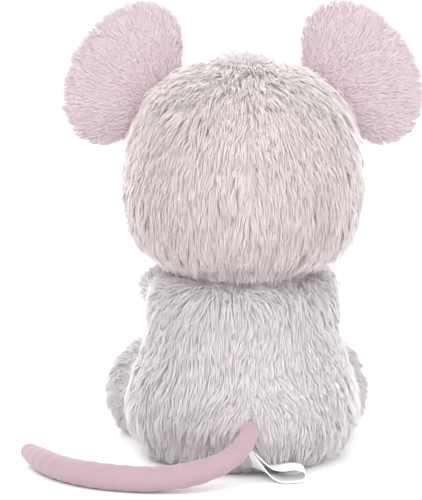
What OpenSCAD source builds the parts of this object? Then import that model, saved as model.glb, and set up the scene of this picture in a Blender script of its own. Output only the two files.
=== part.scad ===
// Seated plush mouse: fur fabric panels sewn round soft stuffing.
// The mouse faces -Y and sits on z = 0. Its own left side is +X.
// Every fabric panel is a shell as thick as its backing and lying pile.
// Sizes are millimetres.

/* [Head] */
// Width of the head across the cheeks, pile pressed down
head_w = 91; // [80:1:110]
// Height of the head from its neck opening to the crown
head_h = 77; // [66:1:93]
// Diameter of the round muzzle
muzzle_d = 34; // [28:1:40]
// How far the muzzle tip stands out past the widest round of the head
muzzle_out = 10.5; // [8:0.5:16]
// Width of the strip from nose to crown
gusset_w = 18; // [12:1:22]

/* [Body] */
// Width of the body at the hips, pile pressed down
body_w = 88; // [80:1:106]
// Height of the body from the floor to its neck opening
body_h = 72; // [60:1:88]
// Radius of the flat patch that the body sits on
seat_r = 26; // [20:1:30]

/* [Neck] */
// Radius of both neck openings
neck_r = 23; // [19:1:25]
// Height between the two neck openings, closed by pile
neck_gap = 7; // [6:0.5:8.5]

/* [Ears] */
// Length of an ear along its seam
ear_l = 60; // [48:1:72]
// Width of an ear across its seam
ear_w = 41; // [34:1:50]
// Height of the ear back's dome
ear_back_t = 4; // [3:0.5:6]
// Height of the ear lining's dome
ear_lining_t = 2.6; // [2:0.2:4]

/* [Arms] */
// Diameter of an arm
arm_d = 17; // [14:0.5:20]
// Length of an arm from its shoulder centre to its paw centre
arm_l = 21; // [16:1:25]

/* [Legs] */
// Diameter of a leg at the hip
leg_d = 32; // [27:1:38]
// Diameter of a foot
foot_d = 37; // [31:1:44]
// Length of a leg from its hip centre to its sole
leg_l = 35; // [30:1:42]
// Angle of a leg out from straight ahead
leg_splay = 35; // [25:1:42]

/* [Tail] */
// Diameter of the tail at its thickest
tail_d = 10; // [8:0.5:12]
// Diameter of the tail at its root
tail_root_d = 7; // [5.5:0.5:8.5]

/* [Label] */
// Width of the ribbon label
label_w = 11; // [8:1:14]
// Length of the folded label
label_l = 21; // [18:1:26]
// Thickness of the ribbon
label_t = 0.5; // [0.3:0.1:0.8]

/* [Eyes and nose] */
// Diameter of an eye
eye_d = 10; // [8:0.5:12]
// Diameter of the nose
nose_d = 9; // [7:0.5:11]
// Diameter of the stems behind the eyes and the nose
stem_d = 3.6; // [3:0.2:5]
// Diameter of the lock washers
washer_d = 12; // [10:0.5:14]
// Thickness of the lock washers
washer_t = 1.6; // [1:0.2:2.4]

/* [Fabric] */
// Thickness of fur fabric, backing and lying pile
skin_t = 3; // [2:0.5:4]
// Thickness of the tail's short pile fabric
tail_skin_t = 1.4; // [1:0.2:2]
// Thickness of the pellet bag's cloth
bag_t = 0.8; // [0.5:0.1:1.2]

/* [Hidden] */

// Colours
fur_white = [0.93, 0.91, 0.92];
fur_blush = [0.93, 0.87, 0.86];
lining_pink = [0.90, 0.66, 0.70];
tail_pink = [0.86, 0.68, 0.72];
fibre_white = [0.96, 0.96, 0.95];
cotton = [0.90, 0.88, 0.83];
gloss_black = [0.05, 0.04, 0.04];
nylon_white = [0.88, 0.88, 0.86];

// Clearances
joint_gap = 0.5;      // between pieces that turn against each other
slip = 0.15;          // between a stem and what it passes through
ear_gap = 2.5;        // from the head to an ear's trimmed edge
limb_gap = 1;         // from the body to an arm or a leg
far = 200;            // past every piece

// Outline points of the head as shares of its half width and its height,
// from the neck opening up to the crown
head_outline = [
  [0.69, 0.010], [0.82, 0.051], [0.92, 0.127], [0.982, 0.241], [1, 0.380],
  [0.978, 0.544], [0.90, 0.703], [0.745, 0.848], [0.526, 0.943], [0.263, 0.988]
];
// Outline points of the body as shares of its half width and its height,
// from just above the floor up to the neck opening
body_outline = [
  [0.785, 0.050], [0.943, 0.153], [1, 0.278], [0.965, 0.417], [0.875, 0.583],
  [0.823, 0.750], [0.805, 0.861], [0.761, 0.944], [0.66, 0.990]
];

// A point on the curve through b and c, with a and d beside them.
function curve_point(a, b, c, d, t) =
  0.5 * (2 * b + (c - a) * t + (2 * a - 5 * b + 4 * c - d) * t * t
  + (3 * b - a - 3 * c + d) * t * t * t);
// The point list p drawn as a smooth curve, with so many steps a span.
function curve(p, steps) = [
  for (i = [0 : len(p) - 2], k = [0 : steps - 1])
    curve_point(p[max(i - 1, 0)], p[i], p[i + 1], p[min(i + 2, len(p) - 1)], k / steps),
  p[len(p) - 1]
];
function unit(v) = v / norm(v);
// The open outline p moved out by d along its own normals.
function moved_out(p, d) = [
  for (i = [0 : len(p) - 1])
    let (along = unit(p[min(i + 1, len(p) - 1)] - p[max(i - 1, 0)]))
    p[i] + d * [along[1], -along[0]]
];

neck_z = body_h + neck_gap / 2;                 // centre that the head turns about
head_z = body_h + neck_gap;                     // plane of the head's neck opening
opening_r = neck_r - 0.5;                       // hole at either end of the neck
ball_r = neck_r - 1;                            // neck sleeve
cup_r = ball_r + joint_gap / 2;                 // hollows that hold the sleeve
plug_r = ball_r - 2;                            // stuffing inside the sleeve

head_line = concat(
  [[neck_r, head_z]],
  [for (p = head_outline) [p[0] * head_w / 2, head_z + p[1] * head_h]],
  [[0, head_z + head_h]]
);
body_line = concat(
  [[seat_r, 0]],
  [for (p = body_outline) [p[0] * body_w / 2, p[1] * body_h]],
  [[neck_r, body_h]]
);
function radius_at(outline, z) = lookup(z, [for (p = outline) [p[1], p[0]]]);

// ---- Plain shapes ----

module turned(outline, low, high) {
  rotate_extrude($fn = 64) polygon(concat([[0, low]], outline, [[0, high]]));
}
// Outer form of the head without its muzzle, moved out by d.
module skull(d = 0) {
  line = moved_out(head_line, d);
  last = len(line) - 1;
  turned(
    [for (i = [0 : last - 1]) [line[i][0], i == 0 && d < 0 ? head_z - d : line[i][1]]],
    d < 0 ? head_z - d : line[0][1],
    line[last][1]
  );
}
// Outer form of the body, moved out by d.
module trunk(d = 0) {
  line = moved_out(body_line, d);
  last = len(line) - 1;
  turned(
    [for (i = [0 : last])
      [line[i][0], i == 0 ? -d : i == last ? body_h + d : line[i][1]]],
    -d,
    body_h + d
  );
}
// A round bar from the origin along +Z with ball ends of radii r1 and r2.
module capsule(r1, r2, l) {
  ends = 5;
  rotate_extrude($fn = 48)
    polygon(concat(
      [for (i = [0 : ends]) r1 * [cos(90 * i / ends - 90), sin(90 * i / ends - 90)]],
      [for (i = [0 : ends]) [0, l] + r2 * [cos(90 * i / ends), sin(90 * i / ends)]]
    ));
}
module copy_to(side) {
  mirror([side < 0 ? 1 : 0, 0, 0]) children();
}

// ---- Head ----

muzzle_r = muzzle_d / 2;
muzzle_z = head_z + 0.30 * head_h;
muzzle_at = [0, muzzle_r - head_w / 2 - muzzle_out, muzzle_z];
side_seam_y = 4;       // plane of the seam between face and back panels

module muzzle_ball(d = 0) {
  translate(muzzle_at) sphere(r = muzzle_r + d, $fn = 64);
}
module neck_hollow() {
  translate([0, 0, neck_z]) sphere(r = cup_r, $fn = 64);
}
// Half space boxes that cut the head's fabric along its seams.
module back_zone(side) {
  copy_to(side) translate([0, side_seam_y, 0]) cube([far, far, far]);
}
module face_zone(side) {
  copy_to(side) translate([gusset_w / 2, side_seam_y - far, 0]) cube([far, far, far]);
}
module gusset_zone() {
  translate([-gusset_w / 2, side_seam_y - far, 0]) cube([gusset_w, far, far]);
}
module head_opening() {
  translate([0, 0, head_z - 1]) cylinder(r = opening_r, h = skin_t + 2, $fn = 64);
}
module head_back(side) {
  color(fur_blush) difference() {
    intersection() {
      skull();
      back_zone(side);
    }
    skull(-skin_t);
    head_opening();
  }
}
module face(side) {
  color(fur_blush) difference() {
    intersection() {
      skull();
      face_zone(side);
    }
    skull(-skin_t);
    head_opening();
    copy_to(side) eye_place() fitting_hole();
  }
}
module face_gusset() {
  color(fur_blush) difference() {
    intersection() {
      skull();
      gusset_zone();
    }
    skull(-skin_t);
    head_opening();
  }
}
module head_stuffing() {
  color(fibre_white) difference() {
    skull(-skin_t);
    neck_hollow();
    for (side = [-1, 1]) copy_to(side) eye_place() fitting_hole();
  }
}
// The muzzle is a bag of its own, sewn onto the front of the face.
module muzzle_skin() {
  color(fur_blush) difference() {
    muzzle_ball();
    muzzle_ball(-skin_t);
    skull(slip);
    nose_place() fitting_hole();
  }
}
module muzzle_stuffing() {
  color(fibre_white) difference() {
    muzzle_ball(-skin_t - slip);
    skull(slip);
    nose_place() fitting_hole();
  }
}

// ---- Eyes and nose ----
// A fitting stands along +Z: its button is outside z = 0, its stem goes inwards.

stem_l = skin_t + washer_t + 4;
eye_turn = 23;                          // eyes out from straight ahead
eye_z = head_z + 0.475 * head_h;
eye_sink = 0.6;                         // how deep a button's rim sits in the pile
washer_z = eye_sink - skin_t - washer_t; // inner face of a lock washer
nose_rise = 14;                         // nose up from the muzzle's middle

module eye_place() {
  rotate([0, 0, eye_turn])
    translate([0, eye_sink - radius_at(head_line, eye_z), eye_z])
      rotate([90, 0, 0]) children();
}
module nose_place() {
  translate(muzzle_at) rotate([90 - nose_rise, 0, 0])
    translate([0, 0, muzzle_r - eye_sink]) children();
}
// Everything that a fitting takes out of fabric and stuffing.
module fitting_hole() {
  button_r = max(eye_d, nose_d) / 2 + slip;
  translate([0, 0, -slip]) cylinder(r = button_r, h = 8, $fn = 48);
  translate([0, 0, -stem_l - slip])
    cylinder(d = stem_d + 2 * slip, h = stem_l + 1, $fn = 32);
  translate([0, 0, washer_z - slip])
    cylinder(d = washer_d + 2 * slip, h = washer_t + 2 * slip, $fn = 48);
}
// A domed button on its stem, dome d across and high.
module button(d, high) {
  dome_r = (d * d / 4 + high * high) / (2 * high);
  intersection() {
    translate([0, 0, high - dome_r]) sphere(r = dome_r, $fn = 64);
    cylinder(r = d, h = 2 * high, $fn = 48);
  }
  translate([0, 0, -stem_l]) cylinder(d = stem_d, h = stem_l + high / 2, $fn = 32);
}
module washer() {
  translate([0, 0, washer_z]) difference() {
    cylinder(d = washer_d, h = washer_t, $fn = 48);
    translate([0, 0, -1]) cylinder(d = stem_d + slip, h = washer_t + 2, $fn = 32);
  }
}
module eye(side) { color(gloss_black) copy_to(side) eye_place() button(eye_d, 0.36 * eye_d); }
module eye_washer(side) { color(nylon_white) copy_to(side) eye_place() washer(); }
module nose() { color(lining_pink) nose_place() button(nose_d, 0.42 * nose_d); }
module nose_washer() { color(nylon_white) nose_place() washer(); }

// ---- Ears ----
// An ear's own frame: +X away from the head, +Z up along its seam, -Y forwards.

ear_lean = 33;                          // seam's lean from upright
ear_mid = [0.497 * head_w, -4, head_z + 0.92 * head_h];
ear_yaw = 12;                           // lining turned a little outwards

module ear_place(side) {
  copy_to(side) translate(ear_mid)
    rotate([0, -ear_lean, ear_yaw]) children();
}
// One layer of an ear: an ellipse under a dome, on the +Y side.
module ear_layer(high) {
  intersection() {
    scale([ear_w / 2, high, ear_l / 2]) sphere(r = 1, $fn = 96);
    translate([-far / 2, 0, -far / 2]) cube([far, far / 2, far]);
  }
}
// The ball that the crown and the cheeks lie inside.
crown_z = head_z + 0.38 * head_h;
crown_r = max([for (p = head_line) if (p[1] > crown_z) norm([p[0], p[1] - crown_z])]);
module ear_cut(side) {
  difference() {
    ear_place(side) children();
    translate([0, 0, crown_z]) sphere(r = crown_r + ear_gap, $fn = 96);
  }
}
module ear_back(side) { color(fur_blush) ear_cut(side) ear_layer(ear_back_t); }
module ear_lining(side) {
  color(lining_pink) ear_cut(side) mirror([0, 1, 0]) ear_layer(ear_lining_t);
}

// ---- Arms ----

arm_r = arm_d / 2;
paw_r = arm_r - 0.5;
arm_z = 0.868 * body_h;
arm_at = 50;                            // shoulder's angle round from straight ahead
arm_out = 3;                            // arm's middle line out from its flat side
arm_side = radius_at(body_line, arm_z - arm_r) + limb_gap;   // flat side from the axis

// An arm's own frame: +Z along the arm, -Y outwards, its flat side at y = 0.
module arm_place(side) {
  copy_to(side) rotate([0, 0, arm_at]) translate([0, -arm_side, arm_z])
    rotate([0, -90, 0]) children();
}
module arm_form(d = 0) {
  difference() {
    translate([0, -arm_out, 0]) capsule(arm_r + d, paw_r + d, arm_l);
    translate([-far / 2, 0, -far / 2]) cube([far, far, far]);
  }
}
module arm_skin(side) {
  color(fur_white) arm_place(side) difference() {
    arm_form();
    arm_form(-skin_t);
  }
}
module arm_stuffing(side) { color(fibre_white) arm_place(side) arm_form(-skin_t); }

// ---- Legs ----

leg_r = leg_d / 2;
foot_r = foot_d / 2;
foot_edge = 7;                          // rounding between foot and sole
sole_r = foot_r - foot_edge;
hip_sink = 17;                          // hip centre inside the body's surface
hip_r = radius_at(body_line, foot_r) - hip_sink;
hip = [hip_r * sin(leg_splay + 6), -hip_r * cos(leg_splay + 6), foot_r];
// The ball that the hips lie inside, up to the top of the legs.
hips_z = 0.278 * body_h;
hips_r = max([for (p = body_line) if (p[1] < foot_d + limb_gap) norm([p[0], p[1] - hips_z])]);

module leg_place(side) {
  copy_to(side) translate(hip) rotate([0, 0, leg_splay]) rotate([90, 0, 0]) children();
}
module leg_cut(side) {
  difference() {
    leg_place(side) children();
    translate([0, 0, hips_z]) sphere(r = hips_r + limb_gap, $fn = 96);
  }
}
module leg_form(d = 0) {
  ends = 4;
  edge_r = foot_edge + min(d, 0);
  rotate_extrude($fn = 64)
    polygon(concat(
      [for (i = [0 : ends])
        (leg_r + d) * [cos(90 * i / ends - 90), sin(90 * i / ends - 90)]],
      [for (i = [0 : ends])
        [foot_r + d - edge_r, leg_l + d - edge_r]
        + edge_r * [cos(90 * i / ends), sin(90 * i / ends)]],
      [[0, leg_l + d]]
    ));
}
module leg_skin(side) {
  color(fur_white) leg_cut(side) difference() {
    leg_form();
    leg_form(-skin_t);
    translate([0, 0, leg_l - skin_t - 1]) cylinder(r = sole_r, h = skin_t + 2, $fn = 64);
  }
}
module leg_stuffing(side) { color(fibre_white) leg_cut(side) leg_form(-skin_t); }
module sole(side) {
  color(lining_pink) leg_place(side)
    translate([0, 0, leg_l - skin_t]) cylinder(r = sole_r, h = skin_t, $fn = 64);
}

// ---- Tail ----
// The tail's middle line from its root in the seam to its tip, which lies beside the body.

root_z = 0.27 * body_h;
root_out = 2;                           // root's centre outside the body's surface
root_y = radius_at(body_line, root_z) + root_out;
floor_z = tail_d / 2 + 0.1;
root_drop = root_z - floor_z;
// Points of the tail's middle line: along X, along Y from the root, and the
// share of its drop to the floor.
tail_points = [
  [0, 0, 0], [3, 7, 0.28], [9, 12, 0.56], [18, 14.5, 0.79], [28, 15, 0.93],
  [39, 14, 1], [51, 10.5, 1], [62, 4, 1], [71, -5, 1], [78, -17, 1], [83.5, -31, 1]
];
tail_line = [for (p = tail_points) [p[0], root_y + p[1], root_z - p[2] * root_drop]];
bends = [3, 6];                         // points of tail_points where the tail bends
tail_steps = 3;
tail_curve = curve(tail_line, tail_steps);
tail_last = len(tail_curve) - 1;
function tail_r(i) = lookup(i / tail_last, [
  [0, tail_root_d / 2], [0.3, 0.46 * tail_d], [0.6, tail_d / 2], [0.88, 0.47 * tail_d],
  [1, 0.36 * tail_d]
]);

// A closed solid through rings of so many points each.
module ring_solid(points, sides) {
  n = len(points) / sides;
  walls = [
    for (i = [0 : n - 2], k = [0 : sides - 1])
      let (a = i * sides + k, b = i * sides + (k + 1) % sides)
      each [[a, a + sides, b], [b, a + sides, b + sides]]
  ];
  caps = [
    [for (k = [0 : sides - 1]) k],
    [for (k = [sides - 1 : -1 : 0]) (n - 1) * sides + k]
  ];
  polyhedron(points = points, faces = concat(walls, caps));
}
// One ring of a tube round the point c.
function ring(c, along, r) =
  let (
    across = unit(cross([0, 0, 1], along)),
    up = cross(along, across)
  )
  [for (k = [0 : tail_sides - 1])
    c + r * (across * cos(360 * k / tail_sides) + up * sin(360 * k / tail_sides))];
function tail_along(i) = unit(tail_curve[min(i + 1, tail_last)] - tail_curve[max(i - 1, 0)]);
tail_sides = 12;
// Rings of the wall from step a to step b, thinner by d.
function wall(a, b, d) = [
  for (i = [a : b]) each ring(tail_curve[i], tail_along(i), tail_r(i) - d)
];
function wall_back(a, b, d) = [
  for (i = [b : -1 : a]) each ring(tail_curve[i], tail_along(i), tail_r(i) - d)
];
// A ball's ring round step i, at the angle t from the ball's equator.
function ball_ring(i, r, t) =
  ring(tail_curve[i] + tail_along(i) * r * sin(t), tail_along(i), r * cos(t));
dome_turns = [25, 50, 70, 86];
function dome(i, d) = [for (t = dome_turns) each ball_ring(i, tail_r(i) - d, t)];
function dome_back(i, d) = [
  for (k = [len(dome_turns) - 1 : -1 : 0]) each ball_ring(i, tail_r(i) - d, dome_turns[k])
];
// The hollow at step i that the ball before it turns in, where a wall thinner by d starts.
function hollow_turn(i, d) = acos((tail_r(i) - d) / (tail_r(i) + joint_gap));
function hollow_ring(i, t) = ball_ring(i, tail_r(i) + joint_gap, t);

// A stretch's skin from the hollow at point a to the ball end at point b.
module tail_skin(a, b) {
  from = a * tail_steps;
  to = b * tail_steps;
  color(tail_pink) ring_solid(concat(
    dome_back(to, tail_skin_t),
    wall_back(from + 2, to, tail_skin_t),
    hollow_ring(from, hollow_turn(from, tail_skin_t)),
    hollow_ring(from, hollow_turn(from, 0)),
    wall(from + 2, to, 0),
    dome(to, 0)
  ), tail_sides);
}
module tail_stuffing(a, b) {
  from = a * tail_steps;
  to = b * tail_steps;
  inset = tail_skin_t + slip;
  turn = hollow_turn(from, inset);
  color(fibre_white) ring_solid(concat(
    hollow_ring(from, 86),
    hollow_ring(from, (turn + 90) / 2),
    hollow_ring(from, turn),
    wall(from + 2, to, inset),
    dome(to, inset)
  ), tail_sides);
}
tail_end = len(tail_points) - 1;

module tail_root() {
  color(tail_pink) translate(tail_curve[0]) sphere(r = tail_r(0), $fn = 48);
}
module tail_socket() {
  translate(tail_curve[0]) sphere(r = tail_r(0) + joint_gap, $fn = 48);
}

// ---- Label ----
// A folded ribbon sewn along the base seam under the tail. It lies along -X.

label_z = 8.5;                          // middle of its sewn edge
label_y = radius_at(body_line, label_z) + label_t + 0.3;
label_slope = 46;                       // sewn edge's rise along the seam
// Middle points of the ribbon: share of its length, in Y from its sewn edge, height,
// and the share of its turn from the seam's slope to flat.
label_points = [
  [0, 0, 8.5, 0], [0.20, 2.4, 6.4, 0.5], [0.40, 4.4, 4.7, 0.9], [0.60, 5.2, 4.9, 1],
  [0.80, 5.5, 5.3, 1], [0.95, 5.5, 4.5, 1], [1, 5.5, 2.9, 1], [0.95, 5.5, 1.4, 1],
  [0.80, 5.5, 0.6, 1], [0.58, 5.2, 0.4, 1], [0.38, 4.4, 1.9, 0.9], [0.20, 2.7, 4.6, 0.5],
  [0, 0.6, 7.9, 0]
];
function label_at(p) = [-p[0] * label_l - 0.2, label_y + p[1], p[2] + label_t / 2];
label_curve = curve([for (p = label_points) label_at(p)], 2);
label_turn = curve([for (p = label_points) [p[3], 0, 0]], 2);

module label() {
  p = label_curve;
  n = len(p);
  corners = [
    for (i = [0 : n - 1])
      let (
        slope = label_slope * (1 - label_turn[i][0]),
        across = [0, cos(slope), sin(slope)],
        along = unit(p[min(i + 1, n - 1)] - p[max(i - 1, 0)]),
        out = unit(cross(along, across))
      )
      for (c = [[-1, -1], [1, -1], [1, 1], [-1, 1]])
        p[i] + c[0] * across * label_w / 2 + c[1] * out * label_t / 2
  ];
  color(nylon_white) ring_solid(corners, 4);
}

// ---- Body ----

base_seam_z = 0.19 * body_h;            // top of the two base panels
front_seam_y = -6;                      // plane of the side seams

// The body's whole fabric before it is cut into panels.
module body_fabric() {
  difference() {
    trunk();
    trunk(-skin_t);
    translate([0, 0, body_h - skin_t - 1]) cylinder(r = opening_r, h = skin_t + 2, $fn = 64);
    tail_socket();
  }
}
module body_panel() {
  intersection() {
    body_fabric();
    children();
  }
}
module body_back_zone(side) {
  copy_to(side) translate([0, front_seam_y, base_seam_z]) cube([far, far, far]);
}
module body_front_zone() {
  translate([-far, front_seam_y - far, base_seam_z]) cube([2 * far, far, far]);
}
module base_zone(side) {
  copy_to(side) translate([0, -far, base_seam_z - far]) cube([far, 2 * far, far]);
}
module body_back(side) { color(fur_white) body_panel() body_back_zone(side); }
module body_front() { color(fur_white) body_panel() body_front_zone(); }
module base(side) { color(fur_white) body_panel() base_zone(side); }

bag_r = 16;
bag_h = 12;
bag_at = [0, 11, skin_t + 0.6];
module bag_form(d = 0) {
  ends = 6;
  edge = bag_h / 2 + d;
  translate(bag_at) rotate_extrude($fn = 48)
    polygon(concat(
      [[0, -d]],
      [for (i = [0 : 2 * ends])
        [bag_r + d - edge, bag_h / 2]
        + edge * [cos(90 * i / ends - 90), sin(90 * i / ends - 90)]],
      [[0, bag_h + d]]
    ));
}
module body_stuffing() {
  color(fibre_white) difference() {
    trunk(-skin_t);
    neck_hollow();
    tail_socket();
    bag_form(slip);
  }
}
module pellet_bag() {
  color(cotton) difference() {
    bag_form();
    bag_form(-bag_t);
  }
}
module pellet_fill() { color(nylon_white) bag_form(-bag_t); }

// ---- Neck ----

module neck_plug() {
  color(fibre_white) translate([0, 0, neck_z]) sphere(r = plug_r - joint_gap / 2, $fn = 64);
}
module neck_sleeve() {
  color(fur_white) translate([0, 0, neck_z]) difference() {
    sphere(r = ball_r, $fn = 64);
    sphere(r = plug_r, $fn = 64);
  }
}

// ---- The pieces ----

body_back(1);  // body_back_left
body_back(-1);  // body_back_right
body_front();
base(1);  // base_left
base(-1);  // base_right
body_stuffing();
pellet_bag();
pellet_fill();
neck_plug();
neck_sleeve();
head_back(1);  // head_back_left
head_back(-1);  // head_back_right
face(1);  // face_left
face(-1);  // face_right
face_gusset();
head_stuffing();
muzzle_skin();
muzzle_stuffing();
eye(1);  // eye_left
eye(-1);  // eye_right
eye_washer(1);  // eye_washer_left
eye_washer(-1);  // eye_washer_right
nose();
nose_washer();
ear_back(1);  // ear_back_left
ear_back(-1);  // ear_back_right
ear_lining(1);  // ear_lining_left
ear_lining(-1);  // ear_lining_right
arm_skin(1);  // arm_skin_left
arm_skin(-1);  // arm_skin_right
arm_stuffing(1);  // arm_stuffing_left
arm_stuffing(-1);  // arm_stuffing_right
leg_skin(1);  // leg_skin_left
leg_skin(-1);  // leg_skin_right
leg_stuffing(1);  // leg_stuffing_left
leg_stuffing(-1);  // leg_stuffing_right
sole(1);  // sole_left
sole(-1);  // sole_right
tail_root();
tail_skin(0, bends[0]);  // tail_skin_1
tail_skin(bends[0], bends[1]);  // tail_skin_2
tail_skin(bends[1], tail_end);  // tail_skin_3
tail_stuffing(0, bends[0]);  // tail_stuffing_1
tail_stuffing(bends[0], bends[1]);  // tail_stuffing_2
tail_stuffing(bends[1], tail_end);  // tail_stuffing_3
label();
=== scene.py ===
import bpy
import math
import numpy as np
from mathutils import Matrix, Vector


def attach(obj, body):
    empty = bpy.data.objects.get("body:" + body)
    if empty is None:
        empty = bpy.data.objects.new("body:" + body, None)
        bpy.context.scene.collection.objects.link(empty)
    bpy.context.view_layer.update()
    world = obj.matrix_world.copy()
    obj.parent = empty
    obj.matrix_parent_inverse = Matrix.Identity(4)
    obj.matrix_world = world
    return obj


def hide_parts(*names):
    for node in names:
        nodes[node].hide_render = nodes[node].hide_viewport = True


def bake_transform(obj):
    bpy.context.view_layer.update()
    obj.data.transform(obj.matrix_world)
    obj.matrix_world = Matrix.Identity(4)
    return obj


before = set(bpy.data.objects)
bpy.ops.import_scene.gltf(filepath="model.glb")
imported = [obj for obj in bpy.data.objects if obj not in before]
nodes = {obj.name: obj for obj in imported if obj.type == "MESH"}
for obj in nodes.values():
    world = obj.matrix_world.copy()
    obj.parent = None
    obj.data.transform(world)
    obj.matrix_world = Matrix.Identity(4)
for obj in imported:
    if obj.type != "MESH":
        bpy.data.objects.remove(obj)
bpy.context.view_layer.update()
MM = 0.001

# ---------------------------------------------------------------- head skin
# The head is a fur bag over firm stuffing: broad cheeks, a rounder crown, and
# a shallow valley down the back where the two back panels are sewn together.
# The same lathe-and-shape helper makes the body's skin.

HEAD_LINE = [
    (23, 79.4), (30.4, 80.4), (36.2, 83.6), (40.6, 89.2), (43.2, 97.6), (43.9, 108),
    (42.9, 120.5), (39.6, 132.4), (32.8, 143), (23.2, 150.2), (12, 153.8), (0, 154.6),
]
BODY_LINE = [
    (0, 0.6), (14, 0.6), (26, 1.2), (34, 4), (40.6, 11.4), (43, 20), (41.6, 30), (37.6, 42),
    (35.2, 54), (34.4, 62), (32.6, 68), (28.4, 71), (20, 72.3), (0, 73),
]


def deselect():
    if bpy.context.object and bpy.context.object.mode != "OBJECT":
        bpy.ops.object.mode_set(mode="OBJECT")
    bpy.ops.object.select_all(action="DESELECT")


def smooth_line(points, steps):
    p = np.array(points, float)
    out = []
    for i in range(len(p) - 1):
        a, b, c, d = p[max(i - 1, 0)], p[i], p[i + 1], p[min(i + 2, len(p) - 1)]
        for t in np.arange(steps) / steps:
            bend = (2 * a - 5 * b + 4 * c - d) * t * t + (3 * b - a - 3 * c + d) * t ** 3
            out.append(0.5 * (2 * b + (c - a) * t + bend))
    out.append(p[-1])
    return np.array(out)


def coords(obj):
    co = np.empty(len(obj.data.vertices) * 3)
    obj.data.vertices.foreach_get("co", co)
    return co.reshape(-1, 3)


def set_coords(obj, co):
    obj.data.vertices.foreach_set("co", np.asarray(co, float).ravel())
    obj.data.update()


def lathe_ball(name, line, segments=96, rings=72):
    """A ball whose rings are moved onto a turned outline, in millimetres."""
    deselect()
    bpy.ops.mesh.primitive_uv_sphere_add(segments=segments, ring_count=rings, radius=1)
    obj = bpy.context.object
    obj.name = obj.data.name = name
    co = coords(obj)
    outline = smooth_line(line, 8)
    run = np.concatenate([[0], np.cumsum(np.linalg.norm(np.diff(outline, axis=0), axis=1))])
    share = np.clip(np.degrees(np.arcsin(np.clip(co[:, 2], -1, 1))) / 180 + 0.5, 0, 1)
    radius = np.interp(share * run[-1], run, outline[:, 0])
    height = np.interp(share * run[-1], run, outline[:, 1])
    around = np.hypot(co[:, 0], co[:, 1])
    around[around < 1e-6] = 1
    out = np.stack([co[:, 0] / around * radius, co[:, 1] / around * radius, height], axis=1)
    set_coords(obj, out * MM)
    return obj


def bump(x, width):
    return np.exp(-(x / width) ** 2)


def shade(obj):
    deselect()
    obj.select_set(True)
    bpy.context.view_layer.objects.active = obj
    bpy.ops.object.shade_smooth()


def normals_of(obj):
    obj.data.update()
    n = np.empty(len(obj.data.vertices) * 3)
    obj.data.vertices.foreach_get("normal", n)
    return n.reshape(-1, 3)


# the lathe starts at the neck opening, closed by a shallow dish inside the gap
head = lathe_ball("head_skin", [(0, 80), (12, 79.6)] + HEAD_LINE)
co = coords(head) / MM
back = np.clip(co[:, 1] / 12, 0, 1)
radial = co / np.maximum(np.hypot(co[:, 0], co[:, 1]), 1e-6)[:, None]
radial[:, 2] = 0
valley = 0.8 * bump(co[:, 0], 4) * back * np.clip((co[:, 2] - 80) / 10, 0, 1)
co -= radial * valley[:, None]
set_coords(head, co * MM)
shade(head)

# ---------------------------------------------------------------- body skin
# The body is a pear: wide hips that sag onto the seat, a narrow chest, a sewn
# valley down the middle of the back and a seam along the hips.

body = lathe_ball("body_skin", BODY_LINE)
co = coords(body) / MM
back = np.clip(co[:, 1] / 12, 0, 1)
radial = co / np.maximum(np.hypot(co[:, 0], co[:, 1]), 1e-6)[:, None]
radial[:, 2] = 0
valley = 0.8 * bump(co[:, 0], 4) * back * np.clip((68 - co[:, 2]) / 8, 0, 1)
valley += 1.5 * bump(co[:, 2] - 15, 2.5) * back * np.clip((32 - abs(co[:, 0])) / 8, 0, 1)
co -= radial * (valley * (co[:, 2] > 2))[:, None]
set_coords(body, co * MM)
shade(body)

# ---------------------------------------------------------------- ears
# Each ear is two layers sewn round their rims, fur behind and short pink pile
# in front, and it cups a little towards the front.

EAR_MID = np.array([45.2, -4.0, 149.8])
EAR_LEAN, EAR_YAW = math.radians(33), math.radians(12)
EAR_HALF_WIDTH, EAR_HALF_LENGTH = 19.7, 29.0


def ear_axes():
    cl, sl, cy, sy = math.cos(EAR_LEAN), math.sin(EAR_LEAN), math.cos(EAR_YAW), math.sin(EAR_YAW)
    x = np.array([cl * cy, cl * sy, sl])
    y = np.array([-sy, cy, 0])
    z = np.array([-sl * cy, -sl * sy, cl])
    return np.stack([x, y, z])


def ear_ball(name, side, back):
    """One layer of an ear: half a flattened ball whose open face is its seam."""
    deselect()
    bpy.ops.mesh.primitive_uv_sphere_add(segments=64, ring_count=40, radius=1)
    obj = bpy.context.object
    obj.name = obj.data.name = name
    p = coords(obj)
    q = np.stack([p[:, 0] * EAR_HALF_WIDTH, p[:, 1], p[:, 2] * EAR_HALF_LENGTH], axis=1)
    if back:
        q[:, 1] = np.where(p[:, 1] > 0, p[:, 1] * 3.6, p[:, 1] * 0.2)
    else:
        q[:, 1] = np.where(p[:, 1] < 0, p[:, 1] * 2.2, p[:, 1] * -0.2) - 0.25
    # the rim curls forward, and the ear's root gathers into the seam
    rim = (p[:, 0] ** 2 + p[:, 2] ** 2)
    q[:, 1] -= 2.2 * rim - 1.6
    root = np.clip((-p[:, 0] - 0.35) / 0.65, 0, 1)
    q[:, 2] *= 1 - 0.10 * root
    w = EAR_MID + q @ ear_axes()
    w[:, 0] *= side
    set_coords(obj, w * MM)
    if side < 0:
        deselect()
        obj.select_set(True)
        bpy.context.view_layer.objects.active = obj
        bpy.ops.object.mode_set(mode="EDIT")
        bpy.ops.mesh.select_all(action="SELECT")
        bpy.ops.mesh.flip_normals()
        bpy.ops.object.mode_set(mode="OBJECT")
    shade(obj)
    return obj


ears_back = {s: ear_ball(n, s, True) for s, n in ((1, "ear_fur_left"), (-1, "ear_fur_right"))}
ears_front = {s: ear_ball(n, s, False) for s, n in ((1, "ear_pink_left"), (-1, "ear_pink_right"))}

# ---------------------------------------------------------------- muzzle, arms and legs
# Each is a small stuffed bag of its own, sewn on by its open end.


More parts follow.
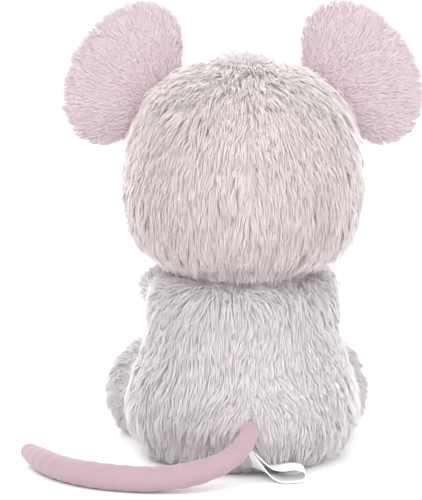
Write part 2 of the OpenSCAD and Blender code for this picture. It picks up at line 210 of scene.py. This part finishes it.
def bag(name, segments=48, rings=36):
    deselect()
    bpy.ops.mesh.primitive_uv_sphere_add(segments=segments, ring_count=rings, radius=1)
    obj = bpy.context.object
    obj.name = obj.data.name = name
    return obj, coords(obj)


muzzle, p = bag("muzzle_skin_soft")
set_coords(muzzle, (p * [16.6, 16.6, 15.6] + [0, -39, 102.1]) * MM)
shade(muzzle)



def face_outwards(obj):
    deselect()
    obj.select_set(True)
    bpy.context.view_layer.objects.active = obj
    bpy.ops.object.mode_set(mode="EDIT")
    bpy.ops.mesh.select_all(action="SELECT")
    bpy.ops.mesh.normals_make_consistent(inside=False)
    bpy.ops.object.mode_set(mode="OBJECT")


ARM_TURN = math.radians(50)
arms, legs = {}, {}
for side, word in ((1, "left"), (-1, "right")):
    arm, p = bag("arm_soft_" + word)
    # along the arm, out from the body, up
    a = (p[:, 2] + 1) / 2
    l = np.where(p[:, 2] < 0, p[:, 2] * 8.3, p[:, 2] * 8) + np.clip(a, 0, 1) * 20
    fat = 8.2 + 0.5 * np.sin(a * math.pi)
    out = p[:, 1] * fat + 3
    out = np.where(out < 0.2, 0.2 + (out - 0.2) * 0.15, out)
    up = p[:, 0] * fat
    along = np.array([-math.cos(ARM_TURN), -math.sin(ARM_TURN), 0])
    outward = np.array([math.sin(ARM_TURN), -math.cos(ARM_TURN), 0])
    start = outward * 37.4 + [0, 0, 62.5]
    w = start + l[:, None] * along + out[:, None] * outward + up[:, None] * np.array([0, 0, 1])
    w[:, 0] *= side
    set_coords(arm, w * MM)
    arms[side] = arm

LEG_TURN = math.radians(35)
for side, word in ((1, "left"), (-1, "right")):
    leg, p = bag("leg_soft_" + word, 64, 48)
    # a barrel with a rounded front edge: it grows from the hip to the foot
    t = np.clip((p[:, 2] + 1) / 2, 0, 1)
    ang = np.arccos(np.clip(p[:, 2], -1, 1))
    ring = np.hypot(p[:, 0], p[:, 1])
    ring_dir = p[:, :2] / np.maximum(ring, 1e-6)[:, None]
    box = np.clip(np.sin(ang), 0, 1) ** 0.42
    radius = box * (16.2 + 3.0 * t)
    # the barrel's length is squared off in the same way
    l = np.sign(p[:, 2]) * np.abs(p[:, 2]) ** 0.55
    l = 17.5 + l * 17.4
    u = np.array([math.sin(LEG_TURN), -math.cos(LEG_TURN), 0])
    v = np.array([math.cos(LEG_TURN), math.sin(LEG_TURN), 0])
    hip = np.array([17.4, -20.1, 18.6])
    w = hip + l[:, None] * u + (ring_dir[:, 0] * radius)[:, None] * v
    w = w + (ring_dir[:, 1] * radius)[:, None] * np.array([0, 0, 1])
    w[:, 2] = np.maximum(w[:, 2], 0.7)
    w[:, 0] *= side
    set_coords(leg, w * MM)
    legs[side] = leg
for obj in (arms[1], arms[-1], legs[1], legs[-1]):
    face_outwards(obj)
    shade(obj)

# ---------------------------------------------------------------- tail skin
# The tail is a long sewn tube of short pink pile, thin at its root, fuller
# along the floor, and round at its tip. It is made in three pieces, and each
# reaches past a bend before the next one starts.

TAIL = [
    (0, 42, 19.9), (0, 45.8, 19.4), (3, 52.8, 15.4), (9, 57.8, 11.4), (18, 60.3, 8.1), (28, 60.8, 6.1),
    (39, 59.8, 5.1), (51, 56.3, 5.1), (62, 49.8, 5.1), (71, 40.8, 5.1), (78, 28.8, 5.1), (83.5, 14.8, 5.1),
]
TAIL_SIZE = [(0, 3.4), (0.06, 3.5), (0.3, 4.6), (0.6, 4.95), (0.88, 4.6), (1, 3.5)]


def tail_line(steps=24):
    line = smooth_line(TAIL, steps)
    run = np.concatenate([[0], np.cumsum(np.linalg.norm(np.diff(line, axis=0), axis=1))])
    return line, run


def tail_tube(name, first, last, cap_first, cap_last):
    """A stretch of the tail between two shares of its length, with ball ends."""
    line, run = tail_line()
    total = run[-1]
    n, sides = 46, 24
    deselect()
    bpy.ops.mesh.primitive_uv_sphere_add(segments=sides, ring_count=n, radius=1)
    obj = bpy.context.object
    obj.name = obj.data.name = name
    p = coords(obj)
    share = np.degrees(np.arcsin(np.clip(p[:, 2], -1, 1))) / 180 + 0.5
    # the outer tenths of the rings make the ends
    e = 0.12
    pos = np.clip((share - e) / (1 - 2 * e), 0, 1)
    s = (first + (last - first) * pos) * total
    size = np.interp(s / total, [a for a, b in TAIL_SIZE], [b for a, b in TAIL_SIZE])
    c = np.stack([np.interp(s, run, line[:, k]) for k in range(3)], axis=1)
    ahead = np.stack([np.interp(s + 0.5, run, line[:, k]) for k in range(3)], axis=1)
    behind = np.stack([np.interp(s - 0.5, run, line[:, k]) for k in range(3)], axis=1)
    along = ahead - behind
    along /= np.linalg.norm(along, axis=1)[:, None]
    across = np.cross([0, 0, 1], along)
    across /= np.linalg.norm(across, axis=1)[:, None]
    up = np.cross(along, across)
    ring = np.hypot(p[:, 0], p[:, 1])
    d = p[:, :2] / np.maximum(ring, 1e-9)[:, None]
    low_end = np.clip(share / e, 0, 1)
    high_end = np.clip((1 - share) / e, 0, 1)
    turn = np.minimum(low_end, high_end)
    radius = size * np.sin(turn * math.pi / 2)
    shift = size * (np.cos(high_end * math.pi / 2) * cap_last - np.cos(low_end * math.pi / 2) * cap_first)
    # soft creases along the pile
    crease = 0.10 * np.sin(s * 0.9 + 2 * np.arctan2(d[:, 1], d[:, 0])) * np.sin(turn * math.pi / 2)
    w = c + along * shift[:, None] + (across * d[:, :1] + up * d[:, 1:]) * (radius + crease)[:, None]
    w[:, 2] = np.maximum(w[:, 2], 0.15)
    set_coords(obj, w * MM)
    face_outwards(obj)
    shade(obj)
    return obj


line, run = tail_line()


def tail_share(x, y):
    d = np.hypot(line[:, 0] - x, line[:, 1] - y)
    return float(run[int(np.argmin(d))] / run[-1])


s_near, s_far = tail_share(18, 60.3), tail_share(51, 56.3)
past_near, past_far = (s_near + s_far) / 2, (s_far + 1) / 2
tails = [
    tail_tube("tail_soft_near", 0.0, past_near, 0.2, 1.0),
    tail_tube("tail_soft_middle", past_near, past_far, 1.0, 1.0),
    tail_tube("tail_soft_far", past_far, 1.0, 1.0, 1.0),
]

# ---------------------------------------------------------------- fur
# The coat is medium pile, about nine millimetres long, combed down and a
# little outwards, and it gathers into soft tufts. Every strand is real.


def samples(base, count, rng, allow):
    # a new ball's faces come in a different order each run, so they are sorted before any draw
    tri = []
    for face in base.data.polygons:
        v = list(face.vertices)
        first = v.index(min(v))
        v = v[first:] + v[:first]
        tri += [(v[0], v[j], v[j + 1]) for j in range(1, len(v) - 1)]
    tri = np.array(sorted(tri))
    co, no = coords(base) / MM, np.round(normals_of(base), 5)
    a, b, c = co[tri[:, 0]], co[tri[:, 1]], co[tri[:, 2]]
    area = np.linalg.norm(np.cross(b - a, c - a), axis=1)
    pick = rng.choice(len(tri), size=count, p=area / area.sum())
    u, v = rng.random(count), rng.random(count)
    over = u + v > 1
    u[over], v[over] = 1 - u[over], 1 - v[over]
    w = 1 - u - v
    p = a[pick] * w[:, None] + b[pick] * u[:, None] + c[pick] * v[:, None]
    n = no[tri[pick, 0]] * w[:, None] + no[tri[pick, 1]] * u[:, None] + no[tri[pick, 2]] * v[:, None]
    n /= np.maximum(np.linalg.norm(n, axis=1), 1e-9)[:, None]
    keep = allow(p, n)
    return p[keep], n[keep]


def unit(v):
    return v / np.maximum(np.linalg.norm(v, axis=1), 1e-9)[:, None]


def nearest(points, seeds):
    """Which seed is nearest to each point."""
    from mathutils.kdtree import KDTree

    tree = KDTree(len(seeds))
    for i, s in enumerate(seeds):
        tree.insert(s, i)
    tree.balance()
    return np.array([tree.find(q)[1] for q in points])


def grow(base, count, length, width, comb, allow, pink_and_shade, seed,
         lift=0.24, tuft=0.5, per_tuft=30, droop=0.14, even=0.9):
    """Adds combed strands to a skin, and joins them into one piece with it."""
    rng = np.random.default_rng(seed)
    p, n = samples(base, count, rng, allow)
    k = len(p)
    flow = comb(p, n)
    flow = flow - n * np.sum(flow * n, axis=1)[:, None]
    size = np.linalg.norm(flow, axis=1)
    flow = flow / np.maximum(size, 1e-6)[:, None] * np.clip(size * 4, 0, 1)[:, None]
    seeds = rng.choice(k, size=max(k // per_tuft, 1), replace=False)
    mine = nearest(p, p[seeds])
    tuft_turn = rng.normal(0, 0.17, (len(seeds), 3))
    tuft_lift = rng.normal(0, 0.04, len(seeds))
    tuft_len = rng.uniform(0.85, 1.1, len(seeds))
    ln = length * tuft_len[mine] * rng.uniform(0.72, 1.08, k)
    up = np.clip(lift + tuft_lift[mine] + rng.normal(0, 0.06, k), 0.10, 0.95)
    lean = n * up[:, None] + flow * (1 - 0.3 * up)[:, None]
    d = unit(lean + tuft_turn[mine] * 0.5 + rng.normal(0, 0.09, (k, 3)))
    d = unit(d + n * np.clip(0.10 - np.sum(d * n, axis=1), 0, 1)[:, None])
    tip = p + d * ln[:, None] - np.array([0, 0, 1]) * (droop * ln)[:, None]
    heart = p[seeds][mine]
    heart_tip = tip[seeds][mine]
    gather = tuft * rng.uniform(0.5, 1, k)
    tip = tip + (heart_tip + (p - heart) * 0.35 - tip) * gather[:, None]
    mid = p + d * (ln * 0.5)[:, None] + n * (0.07 * ln)[:, None]
    mid = mid + (tip - p) * 0.10
    tip[:, 2] = np.maximum(tip[:, 2], 0.4)
    mid[:, 2] = np.maximum(mid[:, 2], 0.5)
    root = p - n * 0.5
    root[:, 2] = np.maximum(root[:, 2], 0.3)
    # each strand is a thin three-sided blade
    side = unit(np.cross(d, n) + 1e-6)
    face = unit(np.cross(side, d))
    wd = width * rng.uniform(0.75, 1.25, k)
    verts = np.empty((k, 7, 3))
    for j, (a, b) in enumerate(((1, -0.3), (-1, -0.3), (0, 0.6))):
        verts[:, j] = root + side * (a * wd / 2)[:, None] + face * (b * wd / 2)[:, None]
        verts[:, 3 + j] = mid + side * (a * wd * 0.42)[:, None] + face * (b * wd * 0.42)[:, None]
    verts[:, 6] = tip
    quads = np.array([(0, 1, 4, 3), (1, 2, 5, 4), (2, 0, 3, 5)])
    tris = np.array([(3, 4, 6), (4, 5, 6), (5, 3, 6)])
    base_i = np.arange(k)[:, None, None] * 7
    blade = [(base_i + quads[None]).reshape(k, -1), (base_i + tris[None]).reshape(k, -1)]
    faces = np.concatenate(blade, axis=1).ravel()
    starts = (np.arange(k)[:, None] * 21 + np.array([0, 4, 8, 12, 15, 18])[None]).ravel()
    totals = np.tile([4, 4, 4, 3, 3, 3], k)
    mesh = bpy.data.meshes.new(base.name + "_pile")
    mesh.vertices.add(k * 7)
    mesh.vertices.foreach_set("co", (verts * MM).ravel())
    mesh.loops.add(k * 21)
    mesh.loops.foreach_set("vertex_index", faces)
    mesh.polygons.add(k * 6)
    mesh.polygons.foreach_set("loop_start", starts)
    mesh.polygons.foreach_set("loop_total", totals)
    mesh.polygons.foreach_set("use_smooth", np.ones(k * 6, bool))
    mesh.update(calc_edges=True)
    tone = np.clip(rng.normal(0.5, 0.16, k) + rng.normal(0, 0.10, len(seeds))[mine], 0, 1)
    # pink mask per strand: the fur's own pink tint, plus painted shade round the ear roots
    pink = np.clip(pink_and_shade(p), 0, 1)
    paint(mesh, np.repeat(tone, 7), np.tile([0, 0, 0, 0.55, 0.55, 0.55, 1], k), np.repeat(pink, 7))
    # the skin under the pile gets the same pink mask, including the painted shade round the ear roots
    cloth = len(base.data.vertices)
    paint(base.data, np.full(cloth, 0.4), np.zeros(cloth), np.clip(pink_and_shade(coords(base) / MM), 0, 1))
    # the strands are lit mostly as the skin under them is, which keeps the coat soft
    soft = np.repeat(n, 7, axis=0)
    own = np.empty(k * 7 * 3)
    mesh.vertices.foreach_get("normal", own)
    soft = unit(soft * even + own.reshape(-1, 3) * (1.1 - even) + np.repeat(d, 7, axis=0) * 0.12)
    pile = bpy.data.objects.new(base.name + "_pile", mesh)
    bpy.context.scene.collection.objects.link(pile)
    skin_normals = normals_of(base)
    deselect()
    pile.select_set(True)
    base.select_set(True)
    bpy.context.view_layer.objects.active = base
    bpy.ops.object.join()
    base.data.normals_split_custom_set_from_vertices(np.concatenate([skin_normals, soft]))
    return base


def paint(mesh, tone, along, pink):
    col = mesh.color_attributes.new(name="pile", type="FLOAT_COLOR", domain="POINT")
    data = np.stack([tone, along, pink, np.ones(len(tone))], axis=1)
    col.data.foreach_set("color", data.ravel())


def to(point):
    return lambda p: np.linalg.norm(p - np.array(point), axis=1)


more = 1.0
EYES = [(17.3, -40.8, 115.6), (-17.3, -40.8, 115.6)]
NOSE = (0, -54.9, 106.1)
EAR_ROOT = EAR_MID - 12 * ear_axes()[0]


def head_comb(p, n):
    up = np.clip((p[:, 2] - 100) / 50, 0, 1)
    part = np.sign(p[:, 0]) * bump(p[:, 0], 6) * np.clip(p[:, 1] / 20, 0, 1)
    part = part * np.clip((p[:, 2] - 92) / 15, 0, 1)
    part *= np.clip((150 - p[:, 2]) / 15, 0, 1)
    sideways = p[:, 0] / 45 * (0.25 + 0.75 * up) + 0.4 * part
    back = np.stack([sideways, p[:, 1] / 90, np.full(len(p), -1.0)], axis=1)
    front = unit(p - np.array([0, -62.0, 106])) * [1, 1, 1]
    t = np.clip((-p[:, 1] - 8) / 22, 0, 1)[:, None]
    return unit(back) * (1 - t) + front * t


def head_allow(p, n):
    ok = (np.hypot(p[:, 0], p[:, 1]) > 28) | (p[:, 2] > 90)
    for e in EYES:
        ok &= to(e)(p) > 5.4
    ok &= np.linalg.norm((p - [0, -39, 102.1]) / [16.6, 16.6, 15.6], axis=1) > 0.97
    return ok


# Pink mask for the head's fur. The even pink tint and the pinker lower sides (cheeks) are the fur's own
# colour. The pinker, darker patches round the ear roots, stronger on the left, are painted shade in the
# hollows where the ears meet the head.
def head_pink_and_ear_root_shade(p):
    left = bump(to(EAR_ROOT)(p), 20)
    right = bump(to(EAR_ROOT * [-1, 1, 1])(p), 20)
    cheek = 0.45 * bump(p[:, 2] - 100, 26) * np.clip(np.abs(p[:, 0]) / 40, 0, 1)
    return 0.30 + 0.5 * left + 0.35 * right + cheek * 0.6


grow(head, int(66000 * more), 9.0, 0.42, head_comb, head_allow, head_pink_and_ear_root_shade, 11)
grow(muzzle, int(9000 * more), 4.5, 0.40, lambda p, n: unit(p - np.array([0, -62.0, 106])),
     lambda p, n: (to(NOSE)(p) > 5.2) & (p[:, 1] < -38), lambda p: 0.3 + 0 * p[:, 0], 12, lift=0.45)


def body_comb(p, n):
    part = np.sign(p[:, 0]) * bump(p[:, 0], 6) * np.clip(p[:, 1] / 20, 0, 1)
    wander = 0.35 * np.sin(p[:, 0] / 7 + p[:, 2] / 9) + 0.25 * np.sin(p[:, 2] / 5 - p[:, 0] / 11)
    across = np.stack([-p[:, 1], p[:, 0], 0 * p[:, 0]], axis=1) / 44
    return unit(np.stack([0.3 * part, 0 * part, np.full(len(p), -1.0)], axis=1) + across * wander[:, None])


def body_allow(p, n):
    return (p[:, 2] > 2.2) & (p[:, 2] < 71.6)


grow(body, int(58000 * more), 8.5, 0.42, body_comb, body_allow,
     lambda p: 0.05 + 0 * p[:, 0], 13, lift=0.26, tuft=0.6)
for side in (1, -1):
    grow(arms[side], int(5200 * more), 6.5, 0.45,
         lambda p, n, s=side: np.tile([-math.cos(ARM_TURN) * s, -math.sin(ARM_TURN), -0.3], (len(p), 1)),
         lambda p, n: np.ones(len(p), bool), lambda p: 0.05 + 0 * p[:, 0], 20 + side, lift=0.4)
    foot = np.array([math.sin(LEG_TURN) * side, -math.cos(LEG_TURN), 0])
    grow(legs[side], int(15500 * more), 9.0, 0.42,
         lambda p, n, f=foot: np.tile(f * 0.6 + [0, 0, -0.55], (len(p), 1)),
         lambda p, n, f=foot: (p[:, 2] > 1.6) & (np.sum(n * f, axis=1) < 0.93), lambda p: 0.05 + 0 * p[:, 0],
         30 + side, lift=0.46)

    def ear_comb(p, n, s=side):
        q = (p * [s, 1, 1] - EAR_MID) @ ear_axes().T
        flow = np.stack([q[:, 0] + 26, 0 * q[:, 0], 0.8 * q[:, 2]], axis=1)
        w = unit(flow) @ ear_axes()
        return w * [s, 1, 1] * 0.9

    # the ear fur's even pink tint is its own colour; its pinker, darker patch towards the ear's root is
    # painted shade of the hollow where the ear meets the head
    grow(ears_back[side], int(19000 * more), 4.4, 0.36, ear_comb, lambda p, n: n[:, 1] > -0.35,
         lambda p, s=side: 0.42 + 0.5 * bump(to(EAR_ROOT * [s, 1, 1])(p), 17), 40 + side,
         lift=0.30, tuft=0.5, droop=0.04, even=0.5)

# ---------------------------------------------------------------- materials
# Pile colours come from each strand's own tone, its height from root to tip
# and its pink mask: the fur's own pink tint, plus painted shade round the ear roots.


def material(name, colour, rough=0.9, sheen=0.0):
    m = bpy.data.materials.new(name)
    m.use_nodes = True
    s = m.node_tree.nodes["Principled BSDF"]
    s.inputs["Base Color"].default_value = (*colour, 1)
    s.inputs["Roughness"].default_value = rough
    s.inputs["Sheen Weight"].default_value = sheen
    return m, m.node_tree, s


def mix(tree, a, b, factor):
    n = tree.nodes.new("ShaderNodeMix")
    n.data_type = "RGBA"
    for socket, value in ((n.inputs[6], a), (n.inputs[7], b)):
        if isinstance(value, tuple):
            socket.default_value = (*value, 1)
        else:
            tree.links.new(value, socket)
    if isinstance(factor, float):
        n.inputs[0].default_value = factor
    else:
        tree.links.new(factor, n.inputs[0])
    return n.outputs[2]


def noise(tree, scale, detail=3.0):
    at = tree.nodes.new("ShaderNodeTexCoord")
    n = tree.nodes.new("ShaderNodeTexNoise")
    n.inputs["Scale"].default_value = scale
    n.inputs["Detail"].default_value = detail
    tree.links.new(at.outputs["Object"], n.inputs["Vector"])
    return n.outputs["Fac"]


def fur_material(name, tip, root, pink_and_shade):
    m, t, s = material(name, tip, 0.85, 0.25)
    a = t.nodes.new("ShaderNodeAttribute")
    a.attribute_name = "pile"
    parts = t.nodes.new("ShaderNodeSeparateColor")
    t.links.new(a.outputs["Color"], parts.inputs[0])
    c = mix(t, root, tip, parts.outputs[1])
    shade_c = mix(t, tuple(v * 0.95 for v in tip), c, parts.outputs[0])
    c = mix(t, shade_c, c, 0.6)
    # the pink mask mixes in this colour: the fur's own pink, and painted shade round the ear roots
    pinked_and_shaded = mix(t, c, pink_and_shade, 0.55)
    c = mix(t, c, pinked_and_shaded, parts.outputs[2])
    t.links.new(c, s.inputs["Base Color"])
    s.inputs["Sheen Roughness"].default_value = 0.5
    s.inputs["Subsurface Weight"].default_value = 0.5
    s.inputs["Subsurface Radius"].default_value = (1.0, 0.9, 0.9)
    s.inputs["Subsurface Scale"].default_value = 0.004
    return m


def velour(name, light, dark, bump_size):
    m, t, s = material(name, light, 0.95, 0.3)
    f = noise(t, 900.0, 2.0)
    w = noise(t, 90.0, 3.0)
    c = mix(t, dark, light, f)
    c = mix(t, c, light, w)
    t.links.new(c, s.inputs["Base Color"])
    s.inputs["Sheen Tint"].default_value = (1.0, 0.9, 0.92, 1)
    b = t.nodes.new("ShaderNodeBump")
    b.inputs["Strength"].default_value = 0.5
    b.inputs["Distance"].default_value = bump_size
    t.links.new(f, b.inputs["Height"])
    t.links.new(b.outputs["Normal"], s.inputs["Normal"])
    return m


# the third colour is the pink that each part's mask mixes in; round the ear roots it is painted shade
body_fur = fur_material("body_fur", (0.95, 0.875, 0.918), (0.95, 0.872, 0.913), (0.92, 0.68, 0.68))
head_fur = fur_material("head_fur", (0.96, 0.85, 0.856), (0.96, 0.835, 0.842), (0.93, 0.66, 0.67))
ear_fur = fur_material("ear_fur", (0.85, 0.725, 0.78), (0.83, 0.67, 0.725), (0.87, 0.61, 0.67))
pink_pile = velour("pink_pile", (0.345, 0.245, 0.275), (0.285, 0.19, 0.217), 0.0004)
lining = velour("pink_lining", (0.80, 0.50, 0.53), (0.66, 0.36, 0.40), 0.0004)
satin, t, s = material("satin_ribbon", (0.86, 0.86, 0.87), 0.45, 0.2)
f = noise(t, 1500.0, 1.0)
t.links.new(mix(t, (0.80, 0.80, 0.82), (0.90, 0.90, 0.91), f), s.inputs["Base Color"])


def dress(obj, m):
    obj.data.materials.clear()
    obj.data.materials.append(m)


for o in (head, muzzle):
    dress(o, head_fur)
for o in ears_back.values():
    dress(o, ear_fur)
for o in (body, *arms.values(), *legs.values()):
    dress(o, body_fur)
for o in ears_front.values():
    dress(o, lining)
for o in tails:
    dress(o, pink_pile)

# ---------------------------------------------------------------- soft pieces and what they stand for
# Each stuffed bag covers the fabric and the stuffing that the frame holds.

bodies = {
    head: "head", muzzle: "head", body: "torso", arms[1]: "arm_left", arms[-1]: "arm_right",
    legs[1]: "leg_left", legs[-1]: "leg_right", ears_back[1]: "ear_left", ears_back[-1]: "ear_right",
    ears_front[1]: "ear_left", ears_front[-1]: "ear_right",
}
for o, name in bodies.items():
    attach(o, name)
root, near, far = (0, 0.0458, 0.0194), (0.018, 0.0603, 0.0081), (0.051, 0.0563, 0.0051)
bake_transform(tails[0])
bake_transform(tails[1])
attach(tails[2], "tail_end")

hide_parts("head_back_left", "head_back_right", "face_left", "face_right", "face_gusset",
            "head_stuffing")
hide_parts("muzzle_skin", "muzzle_stuffing")
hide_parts("body_back_left", "body_back_right", "body_front", "base_left", "base_right",
            "body_stuffing", "pellet_bag", "pellet_fill")
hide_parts("ear_back_left")
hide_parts("ear_back_right")
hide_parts("ear_lining_left")
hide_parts("ear_lining_right")
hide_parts("tail_root", "tail_skin_1", "tail_stuffing_1")
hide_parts("tail_skin_2", "tail_stuffing_2")
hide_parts("tail_skin_3", "tail_stuffing_3")
for side, word in ((1, "left"), (-1, "right")):
    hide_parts(f"arm_skin_{word}", f"arm_stuffing_{word}")
    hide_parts(f"leg_skin_{word}", f"leg_stuffing_{word}")

# ---------------------------------------------------------------- carried-over pieces
# Eyes, nose, washers, sole pads and the neck keep their own shapes.

gloss, t, s = material("black_gloss", (0.006, 0.005, 0.005), 0.08)
f = noise(t, 400.0)
t.links.new(mix(t, (0.004, 0.003, 0.003), (0.010, 0.008, 0.008), f), s.inputs["Base Color"])
nose_pink, t, s = material("pink_gloss", (0.55, 0.20, 0.24), 0.3)
f = noise(t, 500.0)
t.links.new(mix(t, (0.50, 0.17, 0.21), (0.58, 0.22, 0.26), f), s.inputs["Base Color"])
nylon, t, s = material("white_nylon", (0.7, 0.7, 0.68), 0.5)
f = noise(t, 300.0)
t.links.new(mix(t, (0.66, 0.66, 0.64), (0.74, 0.74, 0.72), f), s.inputs["Base Color"])
fleece = velour("neck_fleece", (0.84, 0.82, 0.83), (0.76, 0.72, 0.73), 0.0003)
for name, m in (("eye_left", gloss), ("eye_right", gloss), ("nose", nose_pink), ("eye_washer_left", nylon),
                ("eye_washer_right", nylon), ("nose_washer", nylon),
                ("sole_left", lining), ("sole_right", lining),
                ("neck_sleeve", fleece), ("neck_plug", fleece)):
    dress(nodes[name], m)

# ---------------------------------------------------------------- label
# A blank satin ribbon, folded double and sewn by its two ends into the base
# seam. It curls out over the floor, so its edge shows as a thin loop.

LABEL = [
    (0, 39.9, 8.9, 0.0), (-4.2, 41.9, 6.9, 0.45), (-8.4, 44.0, 5.3, 0.85), (-12.6, 45.0, 5.2, 1),
    (-16.8, 45.4, 5.7, 1), (-20, 45.5, 4.9, 1), (-21.1, 45.5, 3.2, 1), (-20.1, 45.5, 1.6, 1),
    (-16.8, 45.4, 0.9, 1), (-12.2, 45.1, 0.8, 1), (-8, 44.0, 2.2, 0.85), (-4.2, 42.1, 5.0, 0.45),
    (0, 40.5, 8.2, 0.0),
]
deselect()
bpy.ops.mesh.primitive_grid_add(x_subdivisions=96, y_subdivisions=10, size=2)
label = bpy.context.object
label.name = label.data.name = "label_ribbon"
p = coords(label)
path = smooth_line(LABEL, 12)
t = (p[:, 0] + 1) / 2 * (len(path) - 1)
i = np.arange(len(path))
c = np.stack([np.interp(t, i, path[:, k]) for k in range(3)], axis=1)
slope = np.radians(46) * (1 - np.interp(t, i, path[:, 3]))
across = np.stack([0 * slope, np.cos(slope), np.sin(slope)], axis=1)
w = c + across * (p[:, 1] * 5.4)[:, None]
# the free fold droops a little and its edges curl
w[:, 2] += 0.25 * np.abs(p[:, 1]) ** 2 * (1 - np.abs(2 * (p[:, 0] + 1) / 2 - 1))
w[:, 2] = np.maximum(w[:, 2], 0.35)
set_coords(label, w * MM)
mod = label.modifiers.new("cloth", "SOLIDIFY")
mod.thickness = 0.4 * MM
mod.offset = 0
bpy.ops.object.modifier_apply(modifier="cloth")
shade(label)
dress(label, satin)
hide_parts("label")
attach(label, "label_loop")

# ---------------------------------------------------------------- floor, light and camera
# A plain pale floor, soft studio light from above and both sides, and the
# camera low behind the mouse.

deselect()
bpy.ops.mesh.primitive_plane_add(size=6)
floor = bpy.context.object
floor.name = "floor"
paper, t, s = material("floor_paper", (0.93, 0.93, 0.93), 0.9)
f = noise(t, 3.0)
t.links.new(mix(t, (0.925, 0.925, 0.925), (0.935, 0.935, 0.935), f), s.inputs["Base Color"])
dress(floor, paper)

world = bpy.data.worlds.new("studio") if not bpy.context.scene.world else bpy.context.scene.world
bpy.context.scene.world = world
world.use_nodes = True
world.node_tree.nodes["Background"].inputs["Color"].default_value = (1.0, 1.0, 1.0, 1)
world.node_tree.nodes["Background"].inputs["Strength"].default_value = 1.38
bpy.context.scene.view_settings.view_transform = "Standard"


def softbox(name, place, target, size, power, colour=(1, 1, 1)):
    deselect()
    bpy.ops.object.light_add(type="AREA", location=place)
    lamp = bpy.context.object
    lamp.name = name
    lamp.data.shape = "SQUARE"
    lamp.data.size = size
    lamp.data.energy = power
    lamp.data.color = colour
    lamp.rotation_euler = (Vector(target) - Vector(place)).to_track_quat("-Z", "Y").to_euler()


softbox("key", (0.7, 0.9, 1.1), (0, 0, 0.09), 0.8, 6.2)
softbox("fill", (-0.9, 0.8, 0.7), (0, 0, 0.09), 0.9, 4.6)
softbox("near", (0.05, 1.4, 0.5), (0, 0, 0.09), 1.0, 6.0)
softbox("front", (0.1, -1.2, 0.9), (0, 0, 0.09), 1.0, 8.0)

azimuth, elevation, distance = math.radians(177.5), math.radians(9), 1.0
target = Vector((0.0125, 0, 0.0816))
level = math.cos(elevation)
view_from = Vector((math.sin(azimuth) * level, -math.cos(azimuth) * level, math.sin(elevation)))
eye = target + distance * view_from
deselect()
bpy.ops.object.camera_add(location=eye)
camera = bpy.context.object
camera.rotation_euler = (target - eye).to_track_quat("-Z", "Y").to_euler()
camera.data.lens = 184.6
camera.data.sensor_width = 36
camera.data.clip_start = 0.05
bpy.context.scene.camera = camera
